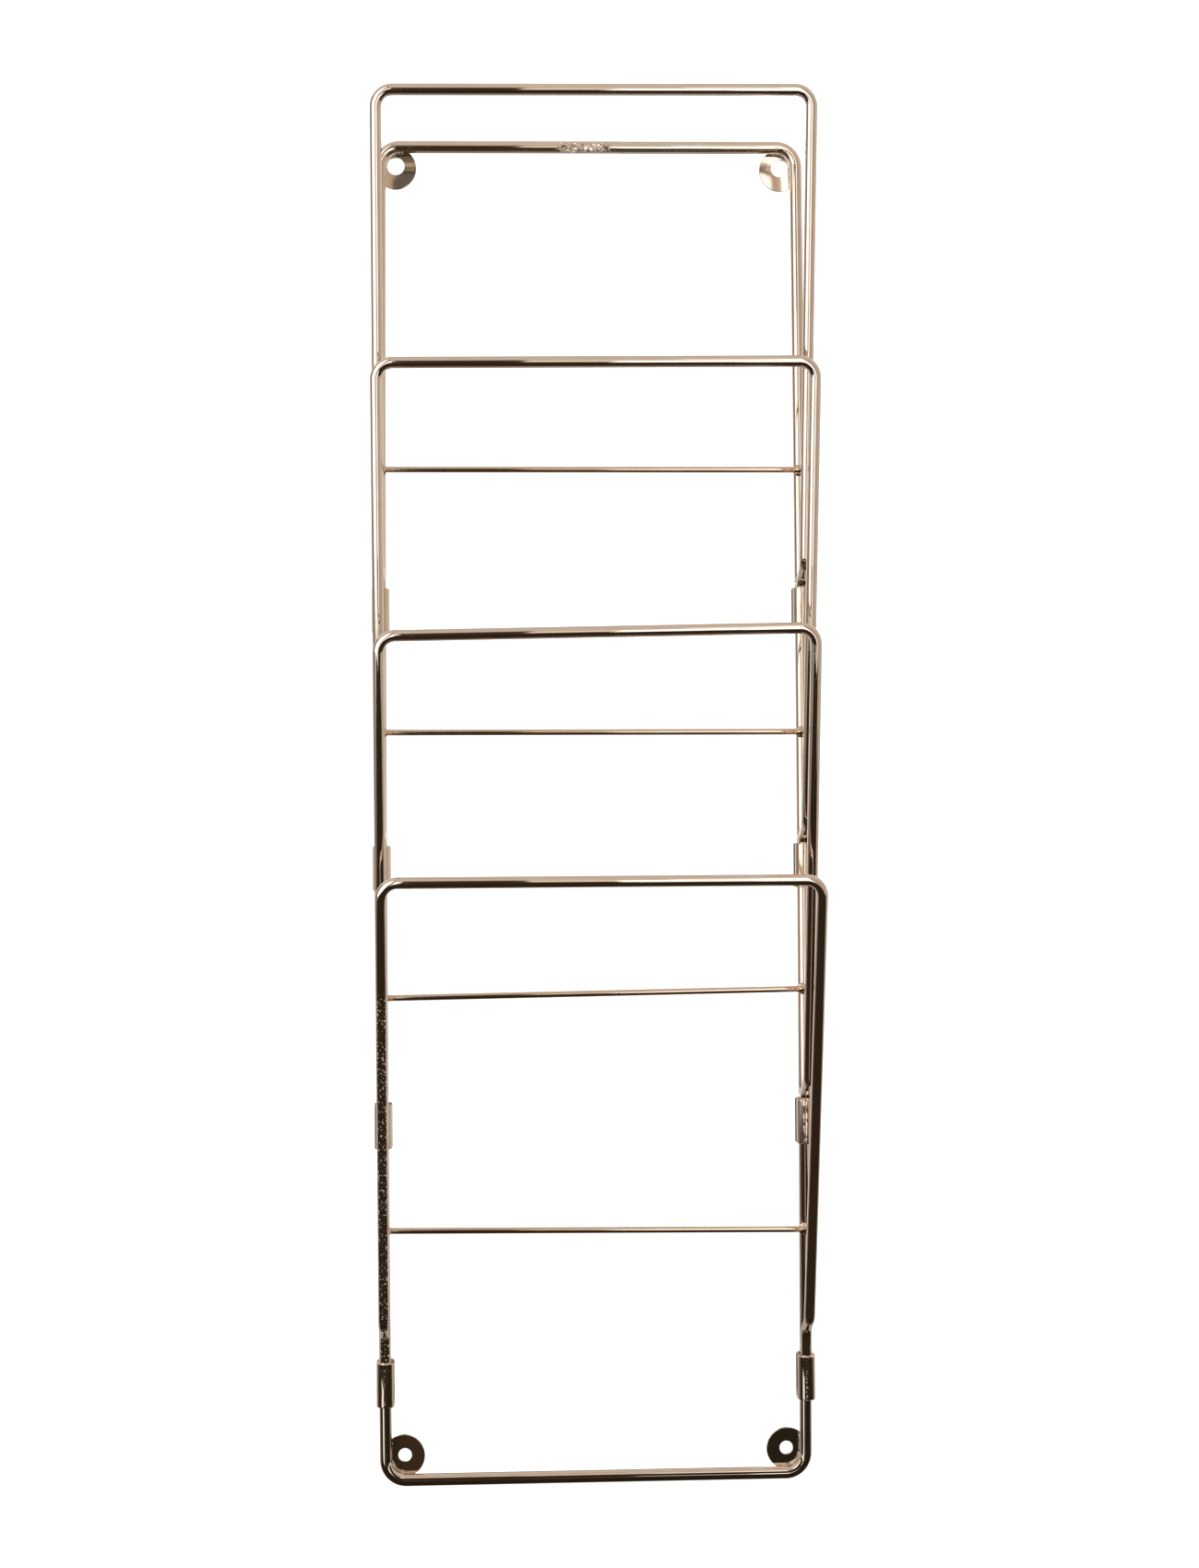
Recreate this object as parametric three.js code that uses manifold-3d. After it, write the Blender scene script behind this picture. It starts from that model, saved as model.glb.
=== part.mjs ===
// Wall-hung newspaper rack in gold-plated round wire. A closed wire frame screws to the wall
// through four round tabs and carries four cross rods. Four front hoops lean out from it, and
// each plugs its two feet into a pair of flat-oval sleeves, so that it lifts straight out.
//
// Millimetres, +Z up, +X right, front facing -Y. The wall is the plane y = 0, and the origin is
// the middle of the four screw holes on that plane.

import * as THREE from "three";
import { mergeVertices } from "three/addons/utils/BufferGeometryUtils.js";
import Module from "manifold-3d";

// ---- Driving dimensions. Heights count up from the centreline of the frame's bottom rail. ----

const GAP = 0.3; // air kept between pieces that touch on the real rack

const FRAME_WIRE = 7.0; // wire diameters
const HOOP_WIRE = 6.4;
const ROD_WIRE = 3.5;

const TOP_WIDTH = 250.5; // over the side wires, at the top rail and at the bottom rail
const BOTTOM_WIDTH = 252.0;
const SIDE_BOW = 1.0; // the side wires belly outwards between the rails, by about this much
const BOW_SHARE = 0.85; // share of a side wire that is curved
const RAIL_DROP = 1.1; // the top rail's left end is this much lower than its right end
const FRAME_HEIGHT = 778; // between the two rails' centrelines
const FRAME_BEND = 11.5; // corner radius, on the wire's centreline

const TAB_THICKNESS = 1.5;
const TAB_RADIUS = 12.3;
const TAB_TOP = { discIn: 8.7, discFromRail: 12.4, holeIn: 9.0, holeFromRail: 11.2, hole: 5.0 };
const TAB_BOTTOM = { discIn: 9.85, discFromRail: 12.7, holeIn: 10.55, holeFromRail: 13.2, hole: 3.9 };

const ROD_LENGTH = 248;
const RODS = [
  // height in the middle, and how much higher the right end was welded than the left
  { height: 588.0, rise: -0.1 },
  { height: 434.9, rise: -0.7 },
  { height: 282.5, rise: 3.0 },
  { height: 144.6, rise: -2.6 },
];

const HOOPS = [
  // How each hand-bent hoop strays: its top corners' heights, how much its top bar is narrowed at
  // each end, and how far it leans to the right.
  { left: -0.8, right: 0.8, narrowed: 1.0, lean: 0 },
  { left: -1.5, right: -0.1, narrowed: 0, lean: 0.2 },
  { left: -2.3, right: 1.6, narrowed: 0.5, lean: 0.2 },
  { left: -0.4, right: -0.4, narrowed: -0.6, lean: 1.7 },
];
const SLEEVE_TOP_HEIGHT = 506; // middle of the highest pair of sleeves
const SLEEVE_PITCH = 149.6;
const SLEEVE_LENGTH = 25.6;
const SLEEVE_WALL = 1.3;

const HOOP_BEND = 9.3; // top corners
const HOOP_REACH = 80; // top bar in front of the frame, centre to centre
const HOOP_RISE = 269.3; // top bar above the sleeve's upper rim
const FOOT_DEPTH = 22.4; // length of the foot inside its sleeve
const CRANK_RISE = 4.2; // foot's bend above the sleeve's upper rim
const CRANK_REACH = 15.2; // how far the crank steps forward
const CRANK_SLOPE = THREE.MathUtils.degToRad(30);
const FOOT_BEND = 9;
const LEG_BEND = 7;
const RAISED_HOOP = 4; // the hoop that stands pulled part of the way up
const RAISED_BY = 11.7;

const WELD_LENGTH = 10; // butt weld that closes the frame's wire, in the middle of the top rail
const WELD_RADIUS = 3.75;

const WIRE_SIDES = 16;
const ROD_SIDES = 12;
const BEND_STEPS = 5;
const ROUND_STEPS = 32;

// ---- Places that follow from them ----

const TOP_X = (TOP_WIDTH - FRAME_WIRE) / 2;
const BOTTOM_X = (BOTTOM_WIDTH - FRAME_WIRE) / 2;
const BOW_RADIUS = (BOW_SHARE * (FRAME_HEIGHT / 2) ** 2) / (2 * SIDE_BOW);
const FRAME_Y = -(TAB_THICKNESS + GAP + FRAME_WIRE / 2);
const ROD_Y = FRAME_Y - FRAME_WIRE / 2 - GAP - ROD_WIRE / 2;
const FOOT_Y = FRAME_Y - FRAME_WIRE / 2 - GAP - HOOP_WIRE / 2;
const HOOP_TOP_Y = FRAME_Y - HOOP_REACH;
const HOLE_MIDDLE = (FRAME_HEIGHT - TAB_TOP.holeFromRail + TAB_BOTTOM.holeFromRail) / 2;

// ---- Finishes ----

const plated = (color, roughness) =>
  new THREE.MeshStandardMaterial({ color, roughness, metalness: 1 });
const frameGold = plated(0xd9bd8c, 0.12);
const hoopGold = plated(0xdcc294, 0.1);
const rodGold = plated(0xd2b07a, 0.18);
const sleeveGold = plated(0xcdb083, 0.22);
const tabGold = plated(0xd6bc92, 0.1);

// ---- Helpers ----

const wasm = await Module();
wasm.setup();

const vec = (x, y, z) => new THREE.Vector3(x, y, z);

function named(name, geometry, material) {
  const mesh = new THREE.Mesh(geometry, material);
  mesh.name = name;
  return mesh;
}

function circle(radius, sides) {
  const points = [];
  for (let i = 0; i < sides; i++) {
    const turn = (2 * Math.PI * i) / sides;
    points.push(new THREE.Vector2(radius * Math.cos(turn), radius * Math.sin(turn)));
  }
  return points;
}

// Stations along a wire's centreline: its two ends, and a few in each round bend between them.
function bentStations(corners, radii) {
  const last = corners.length - 1;
  const first = corners[1].clone().sub(corners[0]).normalize();
  const stations = [{ point: corners[0], tangent: first }];
  for (let i = 1; i < last; i++) {
    const into = corners[i].clone().sub(corners[i - 1]).normalize();
    const out = corners[i + 1].clone().sub(corners[i]).normalize();
    const turn = into.angleTo(out);
    const inward = out.clone().addScaledVector(into, -Math.cos(turn)).normalize();
    const radius = radii[i - 1];
    const start = corners[i].clone().addScaledVector(into, -radius * Math.tan(turn / 2));
    for (let step = 0; step <= BEND_STEPS; step++) {
      const a = (turn * step) / BEND_STEPS;
      stations.push({
        point: start
          .clone()
          .addScaledVector(into, radius * Math.sin(a))
          .addScaledVector(inward, radius * (1 - Math.cos(a))),
        tangent: into.clone().multiplyScalar(Math.cos(a)).addScaledVector(inward, Math.sin(a)),
      });
    }
  }
  const end = corners[last].clone().sub(corners[last - 1]).normalize();
  stations.push({ point: corners[last], tangent: end });
  return stations;
}

// A curve whose equal steps fall on the stations, so that the straight runs need no extra rings.
class WireRoute extends THREE.Curve {
  constructor(stations) {
    super();
    this.stations = stations;
  }
  at(t) {
    return this.stations[Math.round(t * (this.stations.length - 1))];
  }
  getPoint(t) {
    return this.at(t).point.clone();
  }
  getTangent(t) {
    return this.at(t).tangent.clone();
  }
  getUtoTmapping(u) {
    return u;
  }
}

function bentWire(corners, radii, diameter) {
  const stations = bentStations(corners, radii);
  return new THREE.ExtrudeGeometry(new THREE.Shape(circle(diameter / 2, WIRE_SIDES)), {
    steps: stations.length - 1,
    extrudePath: new WireRoute(stations),
  });
}

function toSolid(geometry) {
  const bare = geometry.clone();
  bare.deleteAttribute("normal");
  bare.deleteAttribute("uv");
  const merged = mergeVertices(bare, 1e-3);
  return new wasm.Manifold(
    new wasm.Mesh({
      numProp: 3,
      vertProperties: merged.attributes.position.array,
      triVerts: new Uint32Array(merged.index.array),
    }),
  );
}

function toGeometry(solid) {
  const mesh = solid.getMesh();
  const geometry = new THREE.BufferGeometry();
  geometry.setAttribute("position", new THREE.BufferAttribute(mesh.vertProperties, 3));
  geometry.setIndex(new THREE.BufferAttribute(mesh.triVerts, 1));
  geometry.computeVertexNormals();
  return geometry;
}

// ---- Back frame: one wire bent round four corners, its ends butt-welded in the top rail ----

function makeBackFrame() {
  const belly = (TOP_X + BOTTOM_X) / 2 + 2 * SIDE_BOW;
  const middle = FRAME_HEIGHT - RAIL_DROP / 2;
  const corners = [
    vec(0, 0, middle),
    vec(TOP_X, 0, FRAME_HEIGHT),
    vec(belly, 0, FRAME_HEIGHT / 2),
    vec(BOTTOM_X, 0, 0),
    vec(-BOTTOM_X, 0, 0),
    vec(-belly, 0, FRAME_HEIGHT / 2),
    vec(-TOP_X, 0, FRAME_HEIGHT - RAIL_DROP),
    vec(-GAP, 0, middle),
  ];
  const side = [FRAME_BEND, BOW_RADIUS, FRAME_BEND];
  const wire = bentWire(corners, [...side, ...side], FRAME_WIRE);

  const end = WELD_LENGTH / 2;
  const core = FRAME_WIRE / 2 - GAP;
  const bead = new THREE.LatheGeometry(
    [
      new THREE.Vector2(0, -end),
      new THREE.Vector2(core, -end),
      new THREE.Vector2(WELD_RADIUS, -end / 3),
      new THREE.Vector2(WELD_RADIUS, end / 3),
      new THREE.Vector2(core, end),
      new THREE.Vector2(0, end),
    ],
    WIRE_SIDES,
  );
  bead.rotateZ(Math.PI / 2);
  bead.translate(0, 0, middle);

  const mesh = named("back_frame", toGeometry(toSolid(wire).add(toSolid(bead))), frameGold);
  mesh.position.y = FRAME_Y;
  return mesh;
}

// How far from the middle a side wire is, at a height.
function sideX(height) {
  const share = height / FRAME_HEIGHT;
  return BOTTOM_X + (TOP_X - BOTTOM_X) * share + SIDE_BOW * (1 - (2 * share - 1) ** 2);
}

// ---- Fixing tabs: round plates behind the frame's corners, each with one screw hole ----

function makeTab(name, side, tab, sideWire, rail, up) {
  const disc = new THREE.Shape(circle(TAB_RADIUS, ROUND_STEPS));
  const holeX = -side * (tab.holeIn - tab.discIn);
  const holeZ = up * (tab.holeFromRail - tab.discFromRail);
  const rim = circle(tab.hole, ROUND_STEPS).map((p) => p.add(new THREE.Vector2(holeX, holeZ)));
  disc.holes.push(new THREE.Path(rim));
  const plate = new THREE.ExtrudeGeometry(disc, { depth: TAB_THICKNESS, bevelEnabled: false });
  plate.rotateX(Math.PI / 2);
  const mesh = named(name, plate, tabGold);
  mesh.position.set(side * (sideWire - tab.discIn), 0, rail + up * tab.discFromRail);
  return mesh;
}

function makeTabs() {
  return [
    makeTab("fixing_tab_top_left", -1, TAB_TOP, TOP_X, FRAME_HEIGHT, -1),
    makeTab("fixing_tab_top_right", 1, TAB_TOP, TOP_X, FRAME_HEIGHT, -1),
    makeTab("fixing_tab_bottom_left", -1, TAB_BOTTOM, BOTTOM_X, 0, 1),
    makeTab("fixing_tab_bottom_right", 1, TAB_BOTTOM, BOTTOM_X, 0, 1),
  ];
}

// ---- Cross rods: thin straight wires welded across the front of the side wires ----

function makeRod({ height, rise }, i) {
  const rod = new THREE.CylinderGeometry(ROD_WIRE / 2, ROD_WIRE / 2, ROD_LENGTH, ROD_SIDES);
  rod.rotateZ(-Math.PI / 2);
  const mesh = named(`cross_rod_${i + 1}`, rod, rodGold);
  mesh.position.set(0, ROD_Y, height);
  mesh.rotation.y = -Math.asin(rise / (2 * TOP_X));
  return mesh;
}

// ---- Sleeves: flat-oval tubes that hold a side wire and a hoop's foot one behind the other ----

// A flat oval, long in y, made of two half circles whose centres lie at the two given depths.
function ovalOutline(radius, backCentre, frontCentre) {
  const points = [];
  for (const [centre, start] of [
    [backCentre, 0],
    [frontCentre, Math.PI],
  ]) {
    for (let i = 0; i <= ROUND_STEPS / 4; i++) {
      const turn = start + (Math.PI * i) / (ROUND_STEPS / 4);
      points.push(new THREE.Vector2(radius * Math.cos(turn), centre + radius * Math.sin(turn)));
    }
  }
  return points;
}

function makeSleeve(name, side, height) {
  const bore = FRAME_WIRE / 2 + GAP;
  const backCentre = FRAME_Y;
  const frontCentre = FOOT_Y - HOOP_WIRE / 2 - GAP + bore;
  const oval = new THREE.Shape(ovalOutline(bore + SLEEVE_WALL, backCentre, frontCentre));
  oval.holes.push(new THREE.Path(ovalOutline(bore, backCentre, frontCentre)));
  const tube = new THREE.ExtrudeGeometry(oval, { depth: SLEEVE_LENGTH, bevelEnabled: false });
  const mesh = named(name, tube, sleeveGold);
  mesh.position.set(side * sideX(height), 0, height - SLEEVE_LENGTH / 2);
  return mesh;
}

const sleeveHeight = (number) => SLEEVE_TOP_HEIGHT - (number - 1) * SLEEVE_PITCH;

function makeSleeves() {
  const sleeves = [];
  for (let number = 1; number <= HOOPS.length; number++) {
    sleeves.push(makeSleeve(`sleeve_${number}_left`, -1, sleeveHeight(number)));
    sleeves.push(makeSleeve(`sleeve_${number}_right`, 1, sleeveHeight(number)));
  }
  return sleeves;
}

// ---- Front hoops: an upside-down U, leaning out, with a crank and a straight foot on each leg ----

// One side of a hoop from foot to top corner, with heights counted from the sleeve's upper rim.
function hoopSide(side, number) {
  const hoop = HOOPS[number - 1];
  const footX = side * sideX(sleeveHeight(number));
  const topX = side * (TOP_X - hoop.narrowed) + hoop.lean;
  const stray = side < 0 ? hoop.left : hoop.right;
  return [
    vec(footX, FOOT_Y, -FOOT_DEPTH),
    vec(footX, FOOT_Y, CRANK_RISE),
    vec(footX, FOOT_Y - CRANK_REACH, CRANK_RISE + CRANK_REACH * Math.tan(CRANK_SLOPE)),
    vec(topX, HOOP_TOP_Y, HOOP_RISE + stray),
  ];
}

function makeHoop(number) {
  const corners = [...hoopSide(-1, number), ...hoopSide(1, number).reverse()];
  const radii = [FOOT_BEND, LEG_BEND, HOOP_BEND, HOOP_BEND, LEG_BEND, FOOT_BEND];
  const mesh = named(`front_hoop_${number}`, bentWire(corners, radii, HOOP_WIRE), hoopGold);
  const raised = number === RAISED_HOOP ? RAISED_BY : 0;
  mesh.position.z = sleeveHeight(number) + SLEEVE_LENGTH / 2 + raised;
  return mesh;
}

function makeHoops() {
  const hoops = [];
  for (let number = 1; number <= HOOPS.length; number++) hoops.push(makeHoop(number));
  return hoops;
}

// ---- Assembly ----

const rack = new THREE.Group();
rack.add(makeBackFrame(), ...makeTabs(), ...RODS.map(makeRod), ...makeSleeves(), ...makeHoops());
rack.position.z = -HOLE_MIDDLE;

const newspaperRack = new THREE.Group();
newspaperRack.add(rack);

export default newspaperRack;
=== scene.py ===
# %% [markdown]
# # A wall-hung newspaper rack in gold-plated wire
#
# The real rack is a closed wire frame that screws to the wall through four round tabs. Four thin rods cross
# it, and four hoops lean out from it, each plugged into a pair of flat-oval sleeves. Everything is steel,
# welded together and then polished and plated with a thin, pale gold. This lesson bends every wire the way
# a bench does: a round section is pushed along the straight runs and turned round each corner.

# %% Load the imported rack, which fixes every size and place
import math

import bmesh
import bpy
from mathutils import Matrix, Vector, noise


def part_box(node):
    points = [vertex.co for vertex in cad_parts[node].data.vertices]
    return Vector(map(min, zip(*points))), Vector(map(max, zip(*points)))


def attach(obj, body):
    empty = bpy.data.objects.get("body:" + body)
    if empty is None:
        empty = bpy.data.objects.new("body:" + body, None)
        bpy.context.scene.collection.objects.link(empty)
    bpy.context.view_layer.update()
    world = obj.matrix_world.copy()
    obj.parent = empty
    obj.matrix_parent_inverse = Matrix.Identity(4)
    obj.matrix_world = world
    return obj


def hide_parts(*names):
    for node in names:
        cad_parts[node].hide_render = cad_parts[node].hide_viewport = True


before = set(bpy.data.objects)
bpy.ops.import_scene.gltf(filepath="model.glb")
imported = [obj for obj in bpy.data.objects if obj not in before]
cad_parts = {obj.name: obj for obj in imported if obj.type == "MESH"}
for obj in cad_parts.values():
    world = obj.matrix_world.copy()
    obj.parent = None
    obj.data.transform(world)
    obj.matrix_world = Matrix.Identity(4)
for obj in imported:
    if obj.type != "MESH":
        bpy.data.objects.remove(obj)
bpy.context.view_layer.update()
MM = 0.001

# %% [markdown]
# ## Driving sizes
#
# A wire's centreline can't be seen, but its outside can be measured, so each centreline is worked out from a
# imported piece's box and the wire's thickness. Bend radii are the tool's, and they aren't in any box, so they
# are named here in millimetres.

# %% Wire thicknesses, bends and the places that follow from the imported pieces
FRAME_WIRE = 7.0 * MM
HOOP_WIRE = 6.4 * MM
ROD_WIRE = 3.5 * MM
FRAME_HEIGHT = 778 * MM  # between the centrelines of the two rails
TOP_X = 121.75 * MM  # side wires' centrelines from the middle, at the top rail
BOTTOM_X = 122.5 * MM  # and at the bottom rail
SIDE_BOW = 1.0 * MM  # the side wires belly outwards by this much
BOW_SHARE = 0.85  # of a side wire is curved
RAIL_DROP = 1.1 * MM  # the top rail's left end is lower than its right end
FRAME_BEND = 11.5 * MM
HOOP_BEND = 9.3 * MM
FOOT_BEND = 9.0 * MM
LEG_BEND = 7.0 * MM
FOOT_DEPTH = 22.4 * MM  # the part of a foot that stands in its sleeve
CRANK_RISE = 4.2 * MM  # the foot's bend above the sleeve
CRANK_REACH = 15.2 * MM
CRANK_SLOPE = math.radians(30)
HOOP_RISE = 269.3 * MM  # the top bar above the sleeve
SLEEVE_WALL = 1.3 * MM
WELD_GAP = 0.3 * MM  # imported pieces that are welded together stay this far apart

frame_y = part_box("cross_rod_1")[1].y + WELD_GAP + FRAME_WIRE / 2
bottom_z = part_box("back_frame")[0].z + FRAME_WIRE / 2
top_z = bottom_z + FRAME_HEIGHT


def side_x(z):
    """How far a side wire is from the middle, at a height."""
    share = (z - bottom_z) / FRAME_HEIGHT
    return BOTTOM_X + (TOP_X - BOTTOM_X) * share + SIDE_BOW * (1 - (2 * share - 1) ** 2)


print("side wires at x, mm:", [round(side_x(z) / MM, 2) for z in (bottom_z, 0, top_z)])
print("frame wire at y, mm:", round(frame_y / MM, 2))

# %% [markdown]
# ## Bending wire
#
# A ring of vertices is the wire's round section. It is pushed along a straight run with an edge extrude, and
# spun round each bend about the bend's own centre, so the section stays round and the wire keeps its
# thickness in the corners, as it does on a mandrel. Each vertex also notes where it sits on the wire: round
# the section, and how far along. The finishes use that to run their polishing lines lengthways.

# %% Helpers that start, push and turn a ring of vertices
WIRE_SIDES = 40
BEND_STEPS = 14
RING_PITCH = 5 * MM


def start_mesh():
    """An empty mesh whose vertices can note their place on the wire, their heat tint and painted shade, and
    their wear.
    """
    bm = bmesh.new()
    bm.verts.layers.float_vector.new("on_wire")
    bm.verts.layers.float.new("heat")
    bm.verts.layers.float.new("worn")
    return bm


def edges_among(verts):
    """The edges whose two ends are both among the vertices."""
    inside = set(verts)
    return list({e for v in verts for e in v.link_edges if e.other_vert(v) in inside})


def push(bm, edges, along, pitch):
    """Extrudes rings of edges along a straight run, a ring every pitch, and gives back the last ring."""
    steps = max(1, round(along.length / pitch))
    for _ in range(steps):
        made = bmesh.ops.extrude_edge_only(bm, edges=edges)["geom"]
        verts = [g for g in made if isinstance(g, bmesh.types.BMVert)]
        bmesh.ops.translate(bm, verts=verts, vec=along / steps)
        edges = edges_among(verts)
    return edges


def bend_wire(bm, corners, radii, diameter, pitch=RING_PITCH):
    """A wire along the corners, turned round each inner corner with its radius. Gives back its end rings."""
    at = Vector(corners[0])
    heading = (Vector(corners[1]) - at).normalized()
    square = Matrix.Translation(at) @ heading.to_track_quat("Z", "Y").to_matrix().to_4x4()
    first = bmesh.ops.create_circle(bm, segments=WIRE_SIDES, radius=diameter / 2, matrix=square)["verts"]
    edges = edges_among(first)
    for corner, following, radius in zip(corners[1:-1], corners[2:], radii):
        corner = Vector(corner)
        heading = (corner - at).normalized()
        leaving = (Vector(following) - corner).normalized()
        turn = heading.angle(leaving)
        setback = radius * math.tan(turn / 2)
        start = corner - heading * setback
        edges = push(bm, edges, start - at, pitch)
        axis = heading.cross(leaving).normalized()
        centre = start + axis.cross(heading) * radius
        steps = max(BEND_STEPS, round(radius * turn / pitch))
        spun = bmesh.ops.spin(bm, geom=edges, cent=centre, axis=axis, angle=turn, steps=steps)
        edges = edges_among([g for g in spun["geom_last"] if isinstance(g, bmesh.types.BMVert)])
        at = corner + leaving * setback
    edges = push(bm, edges, Vector(corners[-1]) - at, pitch)
    last = list({v for e in edges for v in e.verts})
    note_place(bm, first, diameter / 2)
    return first, last


def note_place(bm, ring, radius):
    """Writes on each vertex where it is round the section, and how far along the wire, in metres."""
    layer = bm.verts.layers.float_vector["on_wire"]
    column = {v: 2 * math.pi * i / len(ring) for i, v in enumerate(ring)}
    done, along = set(), 0.0
    while column:
        for v, turn in column.items():
            v[layer] = (radius * math.cos(turn), radius * math.sin(turn), along)
        done |= set(column)
        following = {}
        for v, turn in column.items():
            for e in v.link_edges:
                if e.other_vert(v) not in done:
                    following[e.other_vert(v)] = turn
        if following:
            middle = sum((v.co for v in column), Vector()) / len(column)
            along += (sum((v.co for v in following), Vector()) / len(following) - middle).length
        column = following


print("wire section:", WIRE_SIDES, "sides; a ring every", round(RING_PITCH / MM), "mm")

# %% Helpers that close a wire's end, and turn a bmesh into a finished piece
END_CHAMFER = 0.5 * MM
SHARP_EDGE = math.radians(50)  # smooth shading stops at edges that turn more than this
FACES_WALL = 0.9999  # of a face's normal lies along y, on the flat sides of a sheet


def round_over(bm, edges, offset, **more):
    bmesh.ops.bevel(
        bm, geom=edges, offset=offset, affect="EDGES", segments=3, profile=0.5, material=-1, **more
    )


def close_end(bm, ring, chamfer=END_CHAMFER):
    """Caps a ring of vertices and takes the sharp edge off."""
    edges = edges_among(ring)
    bmesh.ops.edgeloop_fill(bm, edges=edges)
    round_over(bm, edges, chamfer, clamp_overlap=True)


def finish_piece(bm, name, body, node, material, flat_sheet=False):
    """Makes the object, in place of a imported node. A flat sheet's two sides are shaded flat."""
    bmesh.ops.recalc_face_normals(bm, faces=bm.faces)
    mesh = bpy.data.meshes.new(name)
    bm.to_mesh(mesh)
    bm.free()
    mesh.shade_smooth()
    mesh.set_sharp_from_angle(angle=SHARP_EDGE)
    if flat_sheet:
        for face in mesh.polygons:
            face.use_smooth = abs(face.normal.y) < FACES_WALL
    mesh.materials.append(material)
    piece = bpy.data.objects.new(name, mesh)
    bpy.context.scene.collection.objects.link(piece)
    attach(piece, body)
    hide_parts(node)
    return piece


print("wire ends are chamfered, mm:", round(END_CHAMFER / MM, 2))

# %% [markdown]
# ## Finishes
#
# Polished pale-gold plating on steel is close to a mirror. It has hardly any look of its own: it shows the
# studio round it, tinted champagne, and turns paler where it is seen edge-on. What makes it read as a real
# surface is small: faint lengthways lines in the gloss, from drawing and polishing, patches of deeper colour
# where the plating is thicker, amber heat tint where a weld ran hot, and small tilted flats where the surface
# was ground, sawn or pitted. The lines could be bumps, but they are finer than a rendered dot and would only
# mottle the wire, so they vary the roughness. The same amber is also painted on the side wires just above each
# sleeve, as painted shade behind the hoop's foot. A mesh's heat-and-shade value says where the amber shows,
# and its worn value says where the flats show.

# %% One colour helper and one node helper
def linear(code):
    """An sRGB hex colour as the linear values that a shader takes."""
    parts = [int(code[i : i + 2], 16) / 255 for i in (1, 3, 5)]
    return [p / 12.92 if p <= 0.04045 else ((p + 0.055) / 1.055) ** 2.4 for p in parts] + [1.0]


def add(tree, kind, settings=None, **inputs):
    """Adds one node. settings are its own properties, and inputs are socket values or sockets to link."""
    node = tree.nodes.new(kind)
    for name, value in (settings or {}).items():
        setattr(node, name, value)
    for name, value in inputs.items():
        by_number = name[0] == "i" and name[1:].isdigit()
        socket = node.inputs[int(name[1:])] if by_number else node.inputs[name]
        if isinstance(value, bpy.types.NodeSocket):
            tree.links.new(value, socket)
        else:
            socket.default_value = value
    return node


print("linear value of mid grey:", round(linear("#808080")[0], 3))

# %% Polished gold plating for the drawn wires
LINE_SPACING = 0.35 * MM  # across the wire; real polishing lines are finer, and these are as fine as shows
LINE_STRETCH = 0.002  # the lines change this much slower along the wire than across it
LINE_GLOSS = (0.85, 1.2)  # a line's least and most share of the roughness
LINES_FROM, LINES_TO = 0.3, 0.75  # the noise values that give them
HAZE_SIZE = 18 * MM  # patches where the plating bath left it thicker
HAZE_FROM, HAZE_TO = 0.35, 0.65  # the noise values where the deeper colour starts, and is full
HEAT_AND_SHADE_ROUGH = 0.20  # roughness added where the heat tint and painted shade are full
FLAKE_SIZE = 1.5 * MM  # the flats that a hand grinder leaves on a weld, and the pits in poor plating
FLAKE_TILT = 2.2  # how strongly the flats lean
FLAKES_FROM, FLAKES_TO = 0.9, 1.0  # wear plus grit at which the flats start to show, and are full


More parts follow.
